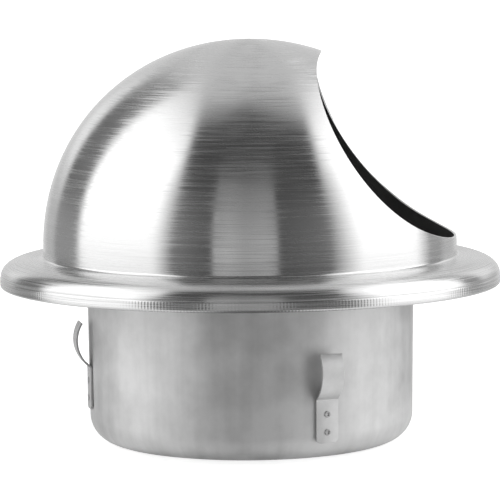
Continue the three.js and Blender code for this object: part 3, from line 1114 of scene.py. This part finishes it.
def hinge_pin():
    half = PIN_LENGTH / 2
    corners = [(0, -half, 0), (PIN_RADIUS, -half, 0.3), (PIN_RADIUS, half, 0.3), (0, half, 0)]
    pin = spun("hinge_pin", corners, WIRE_STEEL)
    place = Matrix.Translation((PIN_X * MM, 0, PIN_Z * MM))
    pin.data.transform(place @ Matrix.Rotation(math.pi / 2, 4, "X"))
    return pin


stand_for(hinge_pin(), "cowl", "wire_steel", "damper_pin")


def hinge_ear(name, side):
    """A bent strip: a foot on the seat and an upright with a round top and the pin's hole."""
    foot_z = SEAT_HIGH.z + REST_GAP
    middle = SHEET / 2
    top = PIN_Z + EAR_HALF_WIDTH
    path = fillet_path(
        [
            (EAR_INNER_Y + EAR_FOOT_LENGTH, foot_z + middle),
            (EAR_INNER_Y + middle, foot_z + middle, 0.7),
            (EAR_INNER_Y + middle, PIN_Z),
        ],
        step=0.15,
    )
    arc = [math.radians(9 * i) for i in range(1, 11)]
    path += [Vector((EAR_INNER_Y + middle, PIN_Z + EAR_HALF_WIDTH * math.sin(a))) for a in arc[:-1]]
    path.append(Vector((EAR_INNER_Y + middle, top - 0.01)))
    points = []
    for place, along in zip(path, tangents(path)):
        rise = max(0, place.y - PIN_Z)
        half = math.sqrt(max(0.15**2, EAR_HALF_WIDTH**2 - rise**2))
        low_x = max(-half, -1.0) if place.y < foot_z + 2 * SHEET else -half  # clear of the collar
        across = Vector((along.y, -along.x)) * middle
        for x, face in ((low_x, -1), (half, -1), (half, 1), (low_x, 1)):
            flat = place + across * face
            points.append((PIN_X + x, side * flat.x, flat.y))
    return bevelled(cage(name, points, 4, DRAWN_STEEL), 0.12, 2)


def ear_rivet(name, side):
    """A round head on the ear's foot, a shank, and a flat tail under the seat."""
    tail = SEAT_HIGH.z - SHEET - 0.05
    head = SEAT_HIGH.z + REST_GAP + SHEET
    corners = [
        (0, tail - 0.45, 0),
        (RIVET_TAIL, tail - 0.45, 0.15),
        (RIVET_TAIL, tail, 0.1),
        (RIVET_SHANK, tail, 0.05),
        (RIVET_SHANK, head + 0.02, 0.05),
        (RIVET_HEAD, head + 0.02, 0.08),
        (RIVET_HEAD - 0.1, head + 0.4, 0.25),
        (0, head + 0.45, 0),
    ]
    rivet = spun(name, corners, SPRING_STEEL)
    rivet.data.transform(Matrix.Translation((EAR_RIVET_X * MM, side * EAR_RIVET_Y * MM, 0)))
    return rivet


for name, side in (("left", 1), ("right", -1)):
    stand_for(hinge_ear(f"ear_{name}", side), "cowl", "drawn_steel", f"hinge_ear_{name}")
    stand_for(ear_rivet(f"ear_rivet_{name}", side), "cowl", "spring_steel", f"hinge_rivet_{name}")

# ---- floor, light and camera ----


def pale_floor():
    """A floor so wide that its far edge is out of sight, just under the collar's lower end."""
    half = 30
    floor_z = -0.0002
    mesh = bpy.data.meshes.new("floor")
    corners = [(-half, -half), (half, -half), (half, half), (-half, half)]
    mesh.from_pydata([(x, y, floor_z) for x, y in corners], [], [(0, 1, 2, 3)])
    nodes = MaterialNodes(
        "pale_floor",
        Base_Color=grey(0.85),
        Roughness=0.9,
        Specular_IOR_Level=0.1,
        Emission_Color=grey(1.0),
        Emission_Strength=0.62,
    )
    mesh.materials.append(nodes.material)
    floor = bpy.data.objects.new("floor", mesh)
    scene.collection.objects.link(floor)
    floor.visible_glossy = False
    floor.visible_diffuse = False


# Light around the object by azimuth in degrees, 0 towards the camera and growing towards +X.
BACK_LEFT = [(-180, 0.8), (-140, 0.78), (-134, 0.13), (-112, 0.18)]
LEFT_PANEL = [(-106, 1.4), (-54, 1.3), (-42, 0.22), (-20, 0.1)]
FRONT_PANEL = [(-18.5, 0.6), (-11, 0.7), (-2, 0.56), (9, 0.62), (16, 0.58), (17, 0.1), (46, 0.18)]
RIGHT_PANEL = [(66, 1.45), (114, 1.5), (118, 0.32), (131, 0.32)]
BACK_RIGHT = [(136, 0.8), (180, 0.8)]
LIGHT_AROUND = BACK_LEFT + LEFT_PANEL + FRONT_PANEL + RIGHT_PANEL + BACK_RIGHT
# How that light changes with its elevation in degrees above the horizon.
LIGHT_UP = [(-90, 1.0), (-5, 1.0), (15, 1.45), (45, 1.45), (60, 1.0), (90, 0.8)]
# The same for the panel in front, which ends at about 40 degrees.
FRONT_LIGHT_UP = [(-90, 0.4), (-12, 0.4), (-5, 1.02), (7, 0.88)]
FRONT_LIGHT_UP += [(20, 0.64), (37, 0.52), (41, 0.18), (90, 0.18)]
CEILING_LEVEL = 0.76
ABOVE_FRONT_LEVEL = 0.08
LOW_BACK_LEVEL = 0.5
UNDER_MIDDLE_LEVEL = 0.15
UNDER_SIDES_LEVEL = 1.05
BACKGROUND_LEVEL = 1.0
TO_DEGREES = 180 / math.pi


def level_curve(nodes, degrees, stops):
    """A value that follows straight lines through (degrees, level) stops."""
    low, high = stops[0][0], stops[-1][0]
    curve = nodes.add("ShaderNodeFloatCurve", {"Value": nodes.ramp(degrees, low, high)})
    mapping = curve.mapping
    mapping.use_clip = False
    line = mapping.curves[0]
    for index, (place, level) in enumerate(stops):
        share = (place - low) / (high - low)
        if index in (0, len(stops) - 1):
            point = line.points[0 if index == 0 else -1]
            point.location = (share, level)
        else:
            point = line.points.new(share, level)
        point.handle_type = "VECTOR"
    mapping.update()
    return curve.outputs["Value"]


def studio_world():
    """Plain soft light all round, which the camera itself sees as a white background."""
    world = bpy.data.worlds.new("studio")
    scene.world = world
    world.use_nodes = True
    nodes = Nodes(world.node_tree)
    x, y, z = nodes.split(nodes.add("ShaderNodeTexCoord").outputs["Generated"])
    forwards = nodes.times(y, -1.0)
    sideways = nodes.math("ABSOLUTE", x)
    azimuth = nodes.times(nodes.math("ARCTAN2", x, forwards), TO_DEGREES)
    aside = nodes.math("ABSOLUTE", azimuth)
    elevation = nodes.times(nodes.math("ARCSINE", z), TO_DEGREES)

    # walls of light; behind the object they lean over it, as their edges keep their angle from -Y
    away = nodes.times(nodes.math("ARCCOSINE", forwards), TO_DEGREES)
    turn = nodes.times(nodes.math("MINIMUM", aside, away), nodes.math("SIGN", azimuth))
    around = level_curve(nodes, turn, LIGHT_AROUND)
    walls = nodes.times(around, level_curve(nodes, elevation, LIGHT_UP))
    in_front = nodes.ease(aside, 16.0, 20.0, 1.0, 0.0)
    front_panel = nodes.times(around, level_curve(nodes, elevation, FRONT_LIGHT_UP))
    walls = nodes.mix_color(in_front, walls, front_panel)
    behind = nodes.ease(aside, 104.0, 114.0, 0.0, 0.7)
    low_behind = nodes.times(behind, nodes.ease(elevation, 2.0, 12.0, 1.0, 0.0))
    walls = nodes.mix_color(low_behind, walls, grey(LOW_BACK_LEVEL))

    # a pale ceiling strip overhead and behind
    strip = nodes.ease(sideways, 0.26, 0.5, 1.0, 0.0)
    ceiling = nodes.times(nodes.ease(y, -0.26, 0.18), strip)
    walls = nodes.mix_color(ceiling, walls, grey(CEILING_LEVEL))

    # a dark curtain in front, beside the panel and above it
    level_reach = nodes.math("SQRT", nodes.minus(1.0, nodes.times(z, z)))
    off_middle = nodes.math("ABSOLUTE", nodes.minus(x, 0.02))
    past_edge = nodes.minus(off_middle, nodes.times(level_reach, 0.45))
    curtain = nodes.times(nodes.ease(past_edge, 0.19, 0.25, 1.0, 0.0), nodes.ease(elevation, 4.0, 42.0))
    curtain = nodes.times(curtain, nodes.ease(y, -0.26, 0.18, 1.0, 0.0))
    off_panel = nodes.math("MAXIMUM", nodes.ease(elevation, 37.0, 41.0), nodes.minus(1.0, in_front))
    walls = nodes.mix_color(nodes.times(curtain, off_panel), walls, grey(ABOVE_FRONT_LEVEL))

    under = nodes.ease(sideways, 0.12, 0.42, UNDER_MIDDLE_LEVEL, UNDER_SIDES_LEVEL)
    light = nodes.mix_color(nodes.ease(elevation, -45.0, -18.0), under, walls)
    seen = nodes.add("ShaderNodeLightPath").outputs["Is Camera Ray"]
    color = nodes.mix_color(seen, light, grey(BACKGROUND_LEVEL))
    background = world.node_tree.nodes["Background"]
    nodes.feed(background.inputs["Color"], color)


def photo_camera():
    """A long lens in front, slightly towards +X and above the dome, that looks a little down."""
    data = bpy.data.cameras.new("camera")
    data.lens = 216
    data.sensor_width = 36
    data.clip_start, data.clip_end = 0.05, 100
    camera = bpy.data.objects.new("camera", data)
    scene.collection.objects.link(camera)
    distance, height = 0.8964, 0.1504
    azimuth, pitch, roll = (math.radians(angle) for angle in (1.03, 5.96, -0.5))
    camera.location = (distance * math.sin(azimuth), -distance * math.cos(azimuth), height)
    turn = Matrix.Rotation(azimuth, 3, "Z") @ Matrix.Rotation(math.pi / 2 - pitch, 3, "X")
    camera.rotation_euler = (turn @ Matrix.Rotation(roll, 3, "Z")).to_euler()
    scene.camera = camera


pale_floor()
studio_world()
photo_camera()
scene.view_settings.view_transform = "Standard"
